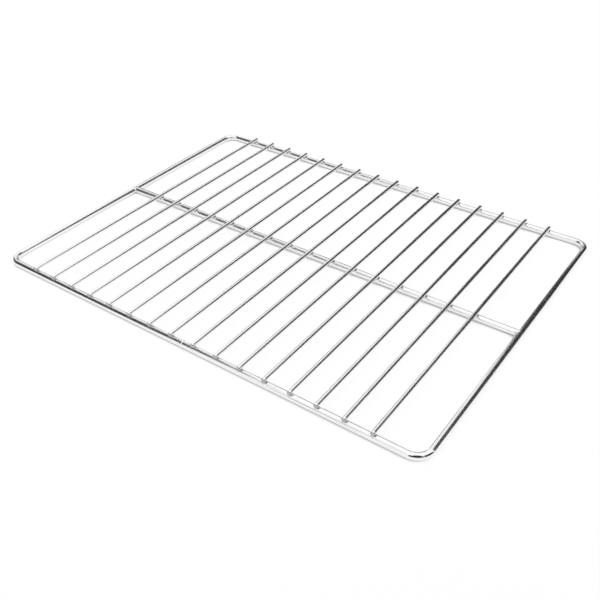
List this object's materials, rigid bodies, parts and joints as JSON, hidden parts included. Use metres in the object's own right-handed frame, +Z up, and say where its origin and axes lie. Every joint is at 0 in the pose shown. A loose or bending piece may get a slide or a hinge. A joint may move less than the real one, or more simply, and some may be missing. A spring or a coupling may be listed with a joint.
{
  "type": "oven shelf rack",
  "caption": "Flat welded wire oven rack: a bent rod frame with rounded corners, a crossbar under the shelf and a row of straight wires from front to back.",
  "frame": {"origin": "middle of the rack, on the plane that its frame rests on", "axes": "+X along the long front rail to the right, +Y from the front rail to the back rail, +Z up out of the shelf"},
  "size_m": [0.4564, 0.3408, 0.0102],
  "materials": {
    "plated_steel": "bright plated steel wire"
  },
  "bodies": {
    "root": {"frame": "plated_steel", "crossbar": "plated_steel", "shelf_wire_01": "plated_steel", "shelf_wire_02": "plated_steel", "shelf_wire_03": "plated_steel", "shelf_wire_04": "plated_steel", "shelf_wire_05": "plated_steel", "shelf_wire_06": "plated_steel", "shelf_wire_07": "plated_steel", "shelf_wire_08": "plated_steel", "shelf_wire_09": "plated_steel", "shelf_wire_10": "plated_steel", "shelf_wire_11": "plated_steel", "shelf_wire_12": "plated_steel", "shelf_wire_13": "plated_steel", "shelf_wire_14": "plated_steel", "shelf_wire_15": "plated_steel", "shelf_wire_16": "plated_steel"}
  },
  "joints": []
}
